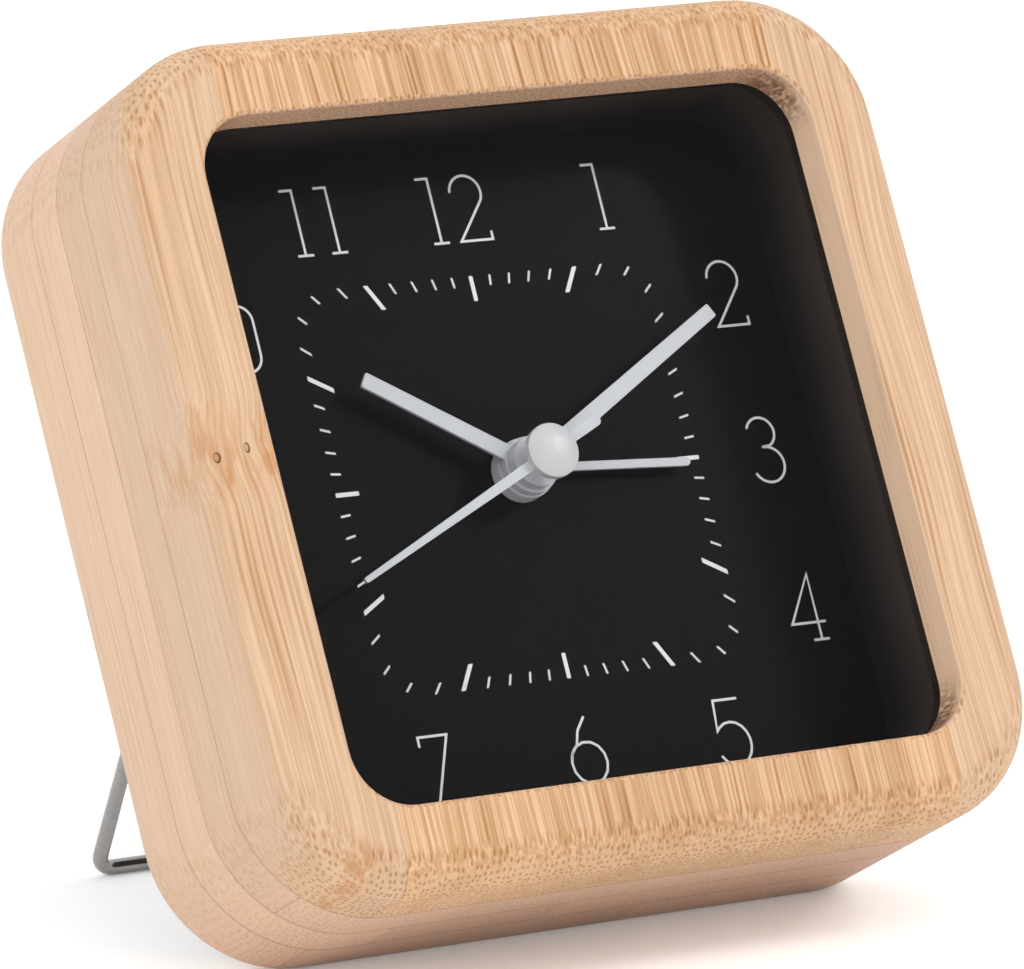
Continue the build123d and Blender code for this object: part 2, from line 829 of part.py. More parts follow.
def circuit_board():
    """Board on the inside of the back plate, cut away round the setting shafts."""
    face = oblong(board_spot, board_width, board_height)
    for spot in set_spots:
        face -= Pos(*spot) * Circle(board_hole_radius)
    return block(face, z_back_top, z_board_top)


def control_chip():
    """Chip on the board."""
    return post(board_place(chip_shares), chip_side, z_board_top, z_board_top + chip_height)


def quartz_crystal():
    """Round crystal can lying on the board."""
    can = extrude(Circle(crystal_radius), amount=crystal_length / 2, both=True)
    return Pos(*board_place(crystal_shares), z_board_top + crystal_radius) * Rot(0, quarter_turn, 0) * can


def buzzer():
    """Round buzzer over the sound slots."""
    body = rod(buzzer_spot, buzzer_radius, z_cover_in, z_cover_in + buzzer_height)
    return body - rod(buzzer_spot, buzzer_hole_radius, z_cover_in, z_cover_in + buzzer_height / 2)


def alarm_switch_body():
    """Switch housing on the inside of the cover."""
    width = slider_width + 2 * slider_clearance
    top = z_cover_in + slider_height + slider_clearance
    outer = oblong(switch_mid, slider_room + 2 * switch_wall, width + 2 * switch_wall)
    body = block(outer, z_cover_in, top + switch_floor)
    return body - block(oblong(switch_mid, slider_room, width), z_cover_in, top)


def alarm_switch_slider():
    """Slider in the housing with its nub through the cover."""
    low = z_cover_in + slider_clearance / 2
    body = block(oblong(switch_spot, slider_length, slider_width), low, z_cover_in + slider_height)
    nub = oblong(switch_spot, slider_nub_length, slider_nub_width)
    return body + block(nub, z_cover_out - slider_nub_proud, low)


def battery_cell():
    """Single AA cell lying across the clock, button to the right."""
    can_length = cell_length - cell_button_height
    left = Pos(-cell_length / 2, -cell_drop, z_cell) * Rot(0, quarter_turn, 0)
    can = left * extrude(Circle(cell_diameter / 2), amount=can_length)
    return can + left * extrude(Circle(cell_button_radius), amount=cell_length)


def contact_plate(side):
    """Flat plate at one end of the cell box, with the tab that rests on its strip."""
    spot = (side * (tub_length - contact_thickness) / 2, -cell_drop)
    half = contact_width / 2
    body = block(oblong(spot, contact_thickness, contact_height), z_cell - half, z_cell + half)
    tab_spot = (spot[0], spot[1] + (contact_height + tab_height) / 2)
    return body + block(oblong(tab_spot, contact_thickness, tab_height), z_strip, z_strip + tab_width)


def positive_contact():
    """Contact with a raised pad against the button of the cell."""
    right = Pos(tub_length / 2, -cell_drop, z_cell) * Rot(0, -quarter_turn, 0)
    return contact_plate(1) + right * extrude(Circle(cell_button_radius), amount=contact_room)


def negative_contact():
    """Contact with a bent leaf against the base of the cell."""
    left = Pos(-tub_length / 2, -cell_drop, z_cell)
    half = contact_height / 2
    bow = contact_room - leaf_thickness
    corners = (
        (0, half),
        (leaf_thickness, half),
        (contact_room, 0),
        (leaf_thickness, -half),
        (0, -half),
        (bow, 0),
    )
    leaf = extrude(Polygon(*corners, align=None), amount=leaf_width / 2, both=True)
    return contact_plate(-1) + left * leaf


def strip_run(first, last, width):
    """Straight length of flat strip on the inside of the cover, between two places."""
    spot = ((first[0] + last[0]) / 2, (first[1] + last[1]) / 2)
    across = abs(last[0] - first[0]) + (width if first[0] != last[0] else 0)
    up = abs(last[1] - first[1])
    face = oblong(spot, max(across, width), max(up, width))
    return block(face, z_cover_in, z_strip)


def strip_pin(spot):
    """Square pin from a strip, through the back plate, to the board."""
    return post(spot, strip_pin_side, z_cover_in, z_back_top)


def cell_strip(side, pin):
    """Strip from one cell contact to its pin on the board."""
    start = (side * strip_across, strip_start)
    corner = (side * strip_across, pin[1])
    return strip_run(start, corner, strip_width) + strip_run(corner, pin, strip_width) + strip_pin(pin)


def buzzer_strip(side):
    """Strip from the side of the buzzer to its pin on the board."""
    across = side * buzzer_strip_half
    nearest = buzzer_strip_half - strip_pin_side / 2
    buzzer_edge = buzzer_spot[1] - sqrt(buzzer_radius * buzzer_radius - nearest * nearest)
    pin = (across, buzzer_strip_turn)
    return strip_run((across, buzzer_edge - press_fit), pin, strip_pin_side) + strip_pin(pin)


def hinge_lug(side):
    """Lug on the cover for one end of the wire stand."""
    reach = wire_radius + running_fit + lug_wall
    mid = side * (lug_inner + lug_outer) / 2
    barrel = extrude(Circle(reach), amount=lug_width / 2, both=True)
    body = Pos(mid, stand_pivot_height, z_pivot) * Rot(0, quarter_turn, 0) * barrel
    body += block(oblong((mid, stand_pivot_height), lug_width, 2 * reach), z_pivot, z_cover_out)
    bore = extrude(Circle(wire_radius + running_fit), amount=lug_width, both=True)
    return body - Pos(mid, stand_pivot_height, z_pivot) * Rot(0, quarter_turn, 0) * bore


def stand_stop(side):
    """Rib on the cover that stops one leg of the open stand."""
    turn = radians(stand_open_angle)
    along = (-cos(turn), -sin(turn))
    beside = (sin(turn), -cos(turn))
    near = wire_radius + stop_gap
    corners = []
    for reach, away in (
        (stop_start, near),
        (stop_start + stop_length, near),
        (stop_start + stop_length, near + stop_thickness),
    ):
        up = stand_pivot_height + along[0] * reach + beside[0] * away
        out = z_pivot + along[1] * reach + beside[1] * away
        corners.append((up, out))
    corners.append((stand_pivot_height + stop_base_high, z_cover_out))
    corners.append((stand_pivot_height + stop_base_low, z_cover_out))
    profile = Plane.YZ * Polygon(*corners, align=None)
    return Pos(side * stand_half, 0, 0) * extrude(profile, amount=stop_width / 2, both=True)


def sound_slots():
    """Row of slots over the buzzer."""
    slots = []
    first = -(len(sound_slot_shares) - 1) / 2
    for place, share in enumerate(sound_slot_shares):
        spot = (buzzer_spot[0] + (first + place) * sound_slot_spacing, buzzer_spot[1])
        slots.append(block(oblong(spot, sound_slot_width, sound_slot_length * share), 0, z_cover_in))
    return slots


def door_outline(margin):
    """Outline of the battery door, with a margin all round."""
    width = door_length + 2 * margin
    height = door_height + 2 * margin
    return Pos(*cell_spot) * RectangleRounded(width, height, door_corner_radius)


def rear_cover():
    """Cover in the rear rebate with the cell box, stand lugs, buzzer frame and openings."""
    body = block(square(cover_side, cover_radius), z_cover_out, z_cover_in)
    box = oblong(cell_spot, tub_length + 2 * tub_wall, tub_height + 2 * tub_wall)
    body += block(box, z_cover_out, z_tub_front)
    body -= block(oblong(cell_spot, tub_length, tub_height), z_cover_out, z_tub_floor)
    body -= block(door_outline(door_clearance), z_cover_out - cut_overrun, z_door_in)
    inner = 2 * (buzzer_radius + insert_clearance)
    outer = inner + 2 * buzzer_frame_wall
    frame_face = oblong(buzzer_spot, outer, outer) - oblong(buzzer_spot, inner, inner)
    frame_gap = 2 * (buzzer_strip_half + strip_pin_side / 2 + strip_clearance)
    frame_face -= oblong((buzzer_spot[0], buzzer_spot[1] - outer / 2), frame_gap, outer / 2)
    body += block(frame_face, z_cover_in, z_cover_in + buzzer_frame_height)
    strip_gap = strip_width + 2 * strip_clearance
    wall_up = cell_spot[1] + (tub_height + tub_wall) / 2
    for side in (-1, 1):
        notch = oblong((side * strip_across, wall_up), strip_gap, 2 * tub_wall)
        body -= block(notch, z_cover_in, z_strip + strip_clearance)
    for slot in sound_slots():
        body -= slot
    for spot in set_spots:
        body -= faceted(spot, set_shaft_radius + shaft_pass_clearance, 0, z_cover_in)
    for spot in post_spots:
        body -= faceted(spot, screw_radius + screw_clearance, 0, z_cover_in)
        body -= rod(spot, screw_head_radius + screw_clearance, 0, z_cover_out + screw_head_height)
    slot_length = slider_nub_length + switch_travel + 2 * slider_clearance
    slot = oblong(switch_mid, slot_length, slider_nub_width + 2 * slider_clearance)
    body -= block(slot, 0, z_cover_in)
    for side in (-1, 1):
        body += hinge_lug(side) + stand_stop(side)
    return body


def cover_screws():
    """Four cross-slotted screws that hold the cover to the carrier posts."""
    head_top = z_cover_out + screw_head_height
    cross = Rectangle(screw_slot_length, screw_slot_width) + Rectangle(screw_slot_width, screw_slot_length)
    screws = []
    for spot in post_spots:
        screw = rod(spot, screw_head_radius, z_cover_out, head_top)
        screw += faceted(spot, screw_radius, head_top, z_cover_in + screw_length)
        screws.append(screw - block(Pos(*spot) * cross, 0, z_cover_out + screw_slot_depth))
    return Compound(children=screws)


def battery_door():
    """Door over the cell box with grip grooves near one end."""
    body = block(door_outline(0), z_cover_out, z_door_in)
    for groove in range(grip_count):
        across = door_length / 2 - grip_inset - groove * grip_spacing
        spot = (across, -cell_drop)
        body -= block(oblong(spot, grip_width, grip_length), 0, z_cover_out + grip_depth)
    return body


def wire_stand():
    """Bent wire: two pivot ends, two legs and the foot that stands on the table."""
    inner = lug_inner - pivot_overhang
    path = FilletPolyline(
        (inner, stand_pivot_height, z_pivot),
        (stand_half, stand_pivot_height, z_pivot),
        (stand_half, foot_y, foot_z),
        (-stand_half, foot_y, foot_z),
        (-stand_half, stand_pivot_height, z_pivot),
        (-inner, stand_pivot_height, z_pivot),
        radius=stand_bend_radius,
    )
    return sweep(Plane(path @ 0, z_dir=path % 0) * Circle(wire_radius), path=path)


pieces = {
    "bamboo_case": bamboo_case(),
    "dial_lens": dial_lens(),
    "inner_bezel": inner_bezel(),
    "dial_plate": dial_plate(),
    "alarm_hand": alarm_hand(),
    "hour_hand": hour_hand(),
    "minute_hand": minute_hand(),
    "second_hand": second_hand(),
    "second_hand_cap": second_hand_cap(),
    "movement_carrier": movement_carrier(),
    "middle_plate": middle_plate(),
    "movement_back": movement_back(),
    "second_wheel": second_wheel(),
    "third_wheel": third_wheel(),
    "centre_wheel": centre_wheel(),
    "step_wheel": step_wheel(),
    "rotor_pinion": rotor_pinion(),
    "rotor_magnet": rotor_magnet(),
    "cannon_pinion": cannon_pinion(),
    "works_wheel": works_wheel(),
    "hour_wheel": hour_wheel(),
    "alarm_wheel": alarm_wheel(),
    "time_set_shaft": time_set_shaft(),
    "time_set_knob": set_knob(time_set_spot),
    "alarm_set_shaft": alarm_set_shaft(),
    "alarm_set_knob": set_knob(alarm_set_spot),
    "stator": stator(),
    "coil_core": coil_core(),
    "coil_bobbin": coil_bobbin(),
    "coil_winding": coil_winding(),
    "circuit_board": circuit_board(),
    "control_chip": control_chip(),
    "quartz_crystal": quartz_crystal(),
    "buzzer": buzzer(),
    "alarm_switch_body": alarm_switch_body(),
    "alarm_switch_slider": alarm_switch_slider(),
    "battery_cell": battery_cell(),
    "positive_contact": positive_contact(),
    "negative_contact": negative_contact(),
    "positive_strip": cell_strip(1, positive_pin),
    "negative_strip": cell_strip(-1, negative_pin),
    "buzzer_strip_left": buzzer_strip(-1),
    "buzzer_strip_right": buzzer_strip(1),
    "rear_cover": rear_cover(),
    "cover_screws": cover_screws(),
    "battery_door": battery_door(),
    "wire_stand": wire_stand(),
}

# Stand the clock up, lean it back, and put the middle of its footprint on the table at the origin
lean = Rot(quarter_turn - lean_angle, 0, 0)
boxes = [(lean * piece).bounding_box() for piece in pieces.values()]
front = min(box.min.Y for box in boxes)
rear = max(box.max.Y for box in boxes)
place = Pos(0, -(front + rear) / 2, -case_low) * lean

os.makedirs("parts", exist_ok=True)
for name, piece in pieces.items():
    export_step(place * piece, f"parts/{name}.step")
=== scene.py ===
import bmesh
import bpy
import json
from math import atan2, cos, pi, radians, sin, sqrt
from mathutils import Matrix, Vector
from types import SimpleNamespace


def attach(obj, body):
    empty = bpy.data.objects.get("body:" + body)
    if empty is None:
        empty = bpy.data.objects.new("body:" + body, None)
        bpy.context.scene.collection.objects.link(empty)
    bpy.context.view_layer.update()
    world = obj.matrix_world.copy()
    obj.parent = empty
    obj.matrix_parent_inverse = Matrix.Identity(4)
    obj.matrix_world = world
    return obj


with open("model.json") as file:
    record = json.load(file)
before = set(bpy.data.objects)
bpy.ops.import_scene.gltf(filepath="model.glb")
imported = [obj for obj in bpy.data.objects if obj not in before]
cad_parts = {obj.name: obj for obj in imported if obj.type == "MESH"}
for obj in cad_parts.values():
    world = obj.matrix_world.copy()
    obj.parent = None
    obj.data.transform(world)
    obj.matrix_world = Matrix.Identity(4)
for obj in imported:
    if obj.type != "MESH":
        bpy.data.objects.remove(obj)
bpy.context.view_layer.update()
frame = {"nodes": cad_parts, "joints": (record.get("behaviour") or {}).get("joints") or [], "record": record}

# Axes of the clock, read from the joint of the second hand: the middle of the dial face,
# the way up the dial and the way out of it
MILLIMETRE = 0.001
second_turn = {joint["name"]: joint for joint in frame["joints"]}["second_turn"]
dial_middle = Vector(second_turn["pos_m"])
into_dial = Vector(second_turn["axis"])
out_of_dial = -into_dial
up_dial = Vector((0, -into_dial.z, into_dial.y))
lean = atan2(up_dial.y, up_dial.z)

# Camera, in metres, placed as in the photograph
CAMERA_PLACE = (-0.49515, -0.81134, 0.23442)
CAMERA_TARGET = (-0.00765, -0.01384, 0.05059)
CAMERA_LENS = 313.4
CAMERA_SENSOR = 36.0

# Floor and studio light, in metres and watts
WHITE = (1, 1, 1, 1)
FLOOR_REACH = 6.0
FLOOR_COLOUR = (0.96, 0.96, 0.96, 1)
FLOOR_ROUGHNESS = 0.9
FLOOR_GLOSS = 0.1
FLOOR_GLOW = 0.16
SURROUND_STRENGTH = 1.0
LIGHT_TARGET = (0, 0, 0.05)
KEY_PLACE = (1.52, -1.12, 1.65)
KEY_SIZE = 0.72
KEY_POWER = 21.5
FILL_PLACE = (-1.2, -0.35, 0.60)
FILL_SIZE = 0.9
FILL_POWER = 6.6


def turn_towards(thing, place, target):
    """Put a camera or a light at a place, looking at a target."""
    thing.location = place
    look = Vector(target) - Vector(place)
    thing.rotation_euler = look.to_track_quat("-Z", "Y").to_euler()
    bpy.context.scene.collection.objects.link(thing)


def set_camera():
    """Camera at the photograph's place and angle."""
    data = bpy.data.cameras.new("camera")
    data.lens = CAMERA_LENS
    data.sensor_width = CAMERA_SENSOR
    camera = bpy.data.objects.new("camera", data)
    turn_towards(camera, CAMERA_PLACE, CAMERA_TARGET)
    bpy.context.scene.camera = camera


# Textures read coordinates that are already stretched
PLAIN_SCALE = 1.0
PLAIN_ROUGHNESS = 0.5


class Nodes:
    """Short way to build a material's node tree."""

    def __init__(self, name):
        self.material = bpy.data.materials.new(name)
        self.material.use_nodes = True
        self.tree = self.material.node_tree
        self.shader = self.tree.nodes["Principled BSDF"]

    def add(self, kind, **settings):
        """New node with its settings."""
        node = self.tree.nodes.new(kind)
        for key, value in settings.items():
            setattr(node, key, value)
        return node

    def join(self, source, target):
        """Link between two sockets."""
        self.tree.links.new(source, target)

    def feed(self, socket, value):
        """Link from a socket, or a plain number or colour."""
        if isinstance(value, bpy.types.NodeSocket):
            self.join(value, socket)
        else:
            socket.default_value = value

    def math(self, operation, first, second=0.0, clamp=False):
        """Result of a calculation with one or two values."""
        node = self.add("ShaderNodeMath", operation=operation, use_clamp=clamp)
        self.feed(node.inputs[0], first)
        self.feed(node.inputs[1], second)
        return node.outputs[0]

    def product(self, first, *others):
        """Product of several values."""
        for other in others:
            first = self.math("MULTIPLY", first, other)
        return first

    def rest(self, value):
        """What a share leaves of the whole."""
        return self.math("SUBTRACT", 1.0, value)

    def ramp(self, value, low, high):
        """Smooth step from nothing at low to all at high."""
        node = self.add("ShaderNodeMapRange", interpolation_type="SMOOTHSTEP")
        self.feed(node.inputs["Value"], value)
        node.inputs["From Min"].default_value = low
        node.inputs["From Max"].default_value = high
        return node.outputs["Result"]

    def mix(self, share, first, second, blend="MIX"):
        """Colour between two colours."""
        node = self.add("ShaderNodeMix", data_type="RGBA", blend_type=blend)
        self.feed(node.inputs["Factor"], share)
        self.feed(node.inputs["A"], first)
        self.feed(node.inputs["B"], second)
        return node.outputs["Result"]

    def noise(self, vector, scale, detail, roughness=PLAIN_ROUGHNESS):
        """Noise value at some coordinates."""
        node = self.add("ShaderNodeTexNoise")
        self.join(vector, node.inputs["Vector"])
        node.inputs["Scale"].default_value = scale
        node.inputs["Detail"].default_value = detail
        node.inputs["Roughness"].default_value = roughness
        return node.outputs["Fac"]

    def grain(self, vector, stretch, detail, roughness=PLAIN_ROUGHNESS):
        """Noise value at coordinates that are stretched along their axes."""
        node = self.add("ShaderNodeVectorMath", operation="MULTIPLY")
        self.join(vector, node.inputs[0])
        node.inputs[1].default_value = stretch
        return self.noise(node.outputs["Vector"], PLAIN_SCALE, detail, roughness)

    def axes(self, vector):
        """The three coordinates as single values."""
        node = self.add("ShaderNodeSeparateXYZ")
        self.join(vector, node.inputs[0])
        return node.outputs["X"], node.outputs["Y"], node.outputs["Z"]

    def clock_place(self):
        """Coordinates in millimetres across, up and out of the dial from its middle."""
        source = self.add("ShaderNodeTexCoord").outputs["Object"]
        shift = self.add("ShaderNodeVectorMath", operation="SUBTRACT")
        self.join(source, shift.inputs[0])
        shift.inputs[1].default_value = dial_middle
        turn = self.add("ShaderNodeMapping", vector_type="POINT")
        self.join(shift.outputs["Vector"], turn.inputs["Vector"])
        turn.inputs["Rotation"].default_value = (lean - pi / 2, 0, 0)
        turn.inputs["Scale"].default_value = (1 / MILLIMETRE,) * 3
        return turn.outputs["Vector"]

    def colour(self, value):
        """Colour of the surface."""
        self.feed(self.shader.inputs["Base Color"], value)

    def tint(self, share, colour, dark_share):
        """Colour of the surface that goes part of the way to a darker one."""
        dark = [part * dark_share for part in colour]
        self.colour(self.mix(share, (*colour, 1), (*dark, 1)))

    def gloss(self, level):
        """Strength of the surface's reflection."""
        self.shader.inputs["Specular IOR Level"].default_value = level

    def bump(self, height, strength, distance):
        """Bump from a height value on the surface."""
        node = self.add("ShaderNodeBump")
        self.join(height, node.inputs["Height"])
        node.inputs["Strength"].default_value = strength
        node.inputs["Distance"].default_value = distance * MILLIMETRE
        self.join(node.outputs["Normal"], self.shader.inputs["Normal"])

    def vary_roughness(self, value, low, high):
        """Roughness between two ends."""
        node = self.add("ShaderNodeMapRange")
        self.join(value, node.inputs["Value"])
        node.inputs["To Min"].default_value = low
        node.inputs["To Max"].default_value = high
        self.join(node.outputs["Result"], self.shader.inputs["Roughness"])


# Colours of the bamboo
BAMBOO_PALE = (0.660, 0.430, 0.258, 1)
BAMBOO_TAN = (0.480, 0.266, 0.122, 1)
BAMBOO_INNER = (0.590, 0.432, 0.318, 1)
BAMBOO_FIBRE = (0.335, 0.140, 0.032, 1)
BAMBOO_GLUE = (0.250, 0.150, 0.090, 1)
BAMBOO_BURN = (0.130, 0.052, 0.022, 1)
# Painted light: paler colour for the shaded side walls of the window
BAMBOO_WALL_PAINTED_LIGHT = (0.850, 0.595, 0.405, 1)
BAMBOO_END = (0.640, 0.405, 0.300, 1)
BAMBOO_KNOT = (0.075, 0.032, 0.012, 1)
BAMBOO_STAIN = (0.430, 0.185, 0.055, 1)

# Surface of the bamboo, with the depth of its relief in millimetres
BAMBOO_ROUGHNESS = (0.46, 0.62)
BAMBOO_GLOSS = 0.30
BAMBOO_BUMP = 0.3
BAMBOO_RELIEF = 0.05
FINE_RELIEF_SHARE = 0.4

# Layers of the bamboo, counted back from the front one, and the strips in each, in millimetres
FRONT_LAYER_END = 5.5
LAYER_THICKNESS = 6.3
FIRST_LAYER = -0.5
LAST_LAYER = 2.4
STRIP_WIDTH = 21.0
STRIP_SHIFT = 7.3
GLUE_WIDTH = 0.22
HALF_STEP = 0.5
LAYER_LINE_SHARE = 0.5
STRIP_LINE_SHARE = 0.25
STRIP_TONE_LOW = 0.92
STRIP_TONE_SPREAD = 0.12
# Painted shade: lighter towards the left and darker towards the right, per millimetre across
PAINTED_SHADE_FALL = 0.0011

# Noise in the wood: stretch per millimetre across, up and out of the dial, detail and roughness
SWAY_GRAIN = ((0.05, 0.028, 0.05), 1.0)
WAVER_GRAIN = ((0.42, 0.16, 0.42), 2.0)
BROAD_GRAIN = ((0.30, 0.010, 0.30), 2.0)
FINE_GRAIN = ((2.6, 0.030, 2.6), 4.0, 0.65)
BLOTCH_GRAIN = ((0.9, 0.16, 0.9), 4.0)
BURN_GRAIN = ((1.1, 2.4, 0.7), 3.0)
SWAY_REACH = 3.0
STREAK_LIMITS = (0.38, 0.60)
BROAD_LIMITS = (0.40, 0.75)
BROAD_SHARE = 0.4

# Bundles of fibre that run up the dial: how many per millimetre, how long, how far they stray
COARSE_DENSITY = 1.30
COARSE_LENGTH = 46.0
COARSE_STRAY = 0.5
COARSE_SHARE = 0.92
THIN_DENSITY = 2.9
THIN_LENGTH = 30.0
THIN_STRAY = 1.0
THIN_SHARE = 0.46
BUNDLE_PHASE_SHARE = 0.5
BUNDLE_SIZE_SHARE = 0.39
BUNDLE_CORE_SHARE = 0.35
PATCH_LIMITS = (0.30, 0.56)
PATCH_SHARE = 0.55
INNER_FIBRE_SHARE = 0.36
INNER_TONE_SHARE = 0.72

# End grain at the top and bottom of the case, by how squarely the surface faces up or down the dial
DASH_LIMITS = (0.02, 0.22)
END_GRAIN_LIMITS = (0.30, 0.95)
END_CALM_SHARE = 0.75
END_FIBRE_SHARE = 0.52
END_TONE_SHARE = 0.55
END_LINE_SHARE = 0.35
DOT_DENSITY = 1.42
DOT_SIZE_SHARE = 0.35
DOT_STRAY = 0.60
DOT_SHARE = 0.80

# Plainer left and right sides with painted shade on the outer ones, paler outer strips and painted light
# that makes the side walls of the window paler, in millimetres
SIDE_LIMITS = (0.55, 0.97)
SIDE_PAINTED_SHADE_SHARE = 0.10
OUTER_STRIP = 34.7
OUTER_TONE_SHARE = 0.38
OUTER_CALM_SHARE = 0.40
WINDOW_HALF = 41.0
WALL_PAINTED_LIGHT_SHARE = 0.65

# Ring of the stem with its two knots, and a few stains, in millimetres
RING_UP = 2.0
RING_HALF = 7.0
RING_WAVER = 1.7
RING_LIMITS = (0.42, 0.62)
RING_STAIN_SHARE = 0.5
KNOT_PLACES = ((-45.1, 1.3), (-41.6, 1.9))
KNOT_SIZE = (0.36, 0.60)
KNOT_SOLID_SHARE = 0.8
KNOT_STAIN_SHARE = 0.5
KNOT_RIM_SHARE = 0.85
KNOT_HOLE_SIZE = (0.23, 0.43)
KNOT_HOLE_SHIFT = (-0.08, 0.05)
KNOT_HOLE_SOLID_SHARE = 0.6
STAIN_PLACES = ((-44.6, -0.9, 0.8), (-39.4, 0.0, 0.9), (-39.8, -43.6, 1.7))
STAIN_STRETCH = 1.8
STAIN_LIMITS = (0.30, 0.62)
STAIN_SOLID_SHARE = 0.2
STAIN_SHARE = 0.6
SPOT_END_SHARE = 1.2

# Burnt corners of the window wall, in millimetres
BURN_CORNER = 36.6
BURN_HALF = 0.5
BURN_REACH = 5.5
BURN_LIMITS = (0.30, 0.60)
BURN_SHARE = 0.85
WINDOW_WALL_LOW = 11.0
WINDOW_WALL_HIGH = 16.2
WALL_FADE_LOW = 0.4
WALL_FADE_HIGH = 2.2


def near(nodes, value, middle, half, soft):
    """All within half of the middle, fading out over the soft width."""
    gap = nodes.math("ABSOLUTE", nodes.math("SUBTRACT", value, middle))
    return nodes.rest(nodes.ramp(gap, half, half + soft))


def spot_mask(nodes, wood, middle, size, solid):
    """Oval mark about a place on the front, that fades out beyond its solid share."""
    beside = nodes.math("DIVIDE", nodes.math("SUBTRACT", wood.across, middle[0]), size[0])
    above = nodes.math("DIVIDE", nodes.math("SUBTRACT", wood.up, middle[1]), size[1])
    squares = nodes.math("ADD", nodes.product(beside, beside), nodes.product(above, above))
    return nodes.rest(nodes.ramp(squares, solid, SPOT_END_SHARE))


def swayed(nodes, place, ring):
    """Coordinates pushed sideways, so that the fibres bend a little, and more at the ring of the stem."""
    sway = nodes.product(nodes.grain(place, *SWAY_GRAIN), SWAY_REACH)
    waver = nodes.product(nodes.grain(place, *WAVER_GRAIN), ring, RING_WAVER)
    push = nodes.add("ShaderNodeCombineXYZ")
    nodes.join(nodes.math("ADD", sway, waver), push.inputs["X"])
    bent = nodes.add("ShaderNodeVectorMath", operation="ADD")
    nodes.join(place, bent.inputs[0])
    nodes.join(push.outputs["Vector"], bent.inputs[1])
    return bent.outputs["Vector"]


def grain_facing(nodes):
    """Where fibres are cut across, where end grain shows squarely, and the left and right sides."""
    normal = nodes.add("ShaderNodeTexCoord").outputs["Normal"]
    along = nodes.add("ShaderNodeVectorMath", operation="DOT_PRODUCT")
    nodes.join(normal, along.inputs[0])
    along.inputs[1].default_value = up_dial
    slope = nodes.math("ABSOLUTE", along.outputs["Value"])
    sideways = nodes.math("ABSOLUTE", nodes.axes(normal)[0])
    dashes = nodes.ramp(slope, *DASH_LIMITS)
    ends = nodes.ramp(slope, *END_GRAIN_LIMITS)
    return dashes, ends, nodes.ramp(sideways, *SIDE_LIMITS)


def cell_cores(nodes, vector, dimensions, stray, size):
    """Middles of scattered cells, fading out towards a size."""
    cells = nodes.add("ShaderNodeTexVoronoi", feature="F1", voronoi_dimensions=dimensions)
    cells.inputs["Randomness"].default_value = stray
    cells.inputs["Scale"].default_value = PLAIN_SCALE
    nodes.join(vector, cells.inputs["Vector"])
    return nodes.rest(nodes.ramp(cells.outputs["Distance"], size * BUNDLE_CORE_SHARE, size))


def fibre_bundles(nodes, place, density, length, stray):
    """Long thin bundles that run up the dial and taper out."""
    spread = nodes.add("ShaderNodeVectorMath", operation="MULTIPLY_ADD")
    nodes.join(place, spread.inputs[0])
    spread.inputs[1].default_value = (density, 1 / length, density)
    spread.inputs[2].default_value = (0, BUNDLE_PHASE_SHARE, 0)
    return cell_cores(nodes, spread.outputs["Vector"], "3D", stray, BUNDLE_SIZE_SHARE)


def end_dots(nodes, place):
    """Cut ends of the bundles: dashes on the rounding that shorten into dots on end grain."""
    across, _, out = nodes.axes(place)
    section = nodes.add("ShaderNodeCombineXYZ")
    nodes.join(nodes.product(across, DOT_DENSITY), section.inputs["X"])
    nodes.join(nodes.product(out, DOT_DENSITY), section.inputs["Y"])
    return cell_cores(nodes, section.outputs["Vector"], "2D", DOT_STRAY, DOT_SIZE_SHARE)


def step_lines(nodes, value, width, share):
    """Thin lines where a value passes whole numbers."""
    edge = nodes.math("PINGPONG", value, HALF_STEP)
    return nodes.product(nodes.rest(nodes.ramp(edge, 0.0, width)), share)


def bamboo_layers(nodes, across, out):
    """Mask of the front layer, a chance value for each strip, and the glue lines."""
    layer = nodes.math("DIVIDE", nodes.math("SUBTRACT", FRONT_LAYER_END, out), LAYER_THICKNESS)
    layer = nodes.math("MINIMUM", nodes.math("MAXIMUM", layer, FIRST_LAYER), LAST_LAYER)
    layer_number = nodes.math("FLOOR", layer)
    front = nodes.math("LESS_THAN", layer, 0.0)
    shifted = nodes.math("ADD", across, nodes.product(layer_number, STRIP_SHIFT))
    strip = nodes.math("DIVIDE", shifted, STRIP_WIDTH)
    tag = nodes.add("ShaderNodeCombineXYZ")
    nodes.join(layer_number, tag.inputs["X"])
    nodes.join(nodes.math("FLOOR", strip), tag.inputs["Y"])
    chance = nodes.add("ShaderNodeTexWhiteNoise", noise_dimensions="3D")
    nodes.join(tag.outputs["Vector"], chance.inputs["Vector"])
    layer_lines = step_lines(nodes, layer, GLUE_WIDTH / LAYER_THICKNESS, LAYER_LINE_SHARE)
    strip_lines = step_lines(nodes, strip, GLUE_WIDTH / STRIP_WIDTH, STRIP_LINE_SHARE)
    return front, chance.outputs["Value"], nodes.math("MAXIMUM", layer_lines, strip_lines)


def wood_values(nodes):
    """What the bamboo is like at a point: its place, layer, strip, facing and grain."""
    wood = SimpleNamespace()
    wood.place = nodes.clock_place()
    wood.across, wood.up, wood.out = nodes.axes(wood.place)
    wood.aside = nodes.math("ABSOLUTE", wood.across)
    wood.along = nodes.math("ABSOLUTE", wood.up)
    wood.front, wood.strip_chance, wood.lines = bamboo_layers(nodes, wood.across, wood.out)
    left = nodes.math("LESS_THAN", wood.across, 0.0)
    wood.ring = nodes.product(near(nodes, wood.up, RING_UP, 0.0, RING_HALF), wood.front, left)
    wood.grain = swayed(nodes, wood.place, wood.ring)
    wood.dashes, wood.ends, wood.sides = grain_facing(nodes)
    wood.front_look = nodes.product(wood.front, nodes.rest(wood.sides))
    wood.outer = nodes.math("GREATER_THAN", wood.aside, OUTER_STRIP)
    wood.beyond = nodes.math("GREATER_THAN", wood.aside, WINDOW_HALF)
    wood.broad = nodes.grain(wood.grain, *BROAD_GRAIN)
    wood.fine = nodes.grain(wood.grain, *FINE_GRAIN)
    return wood


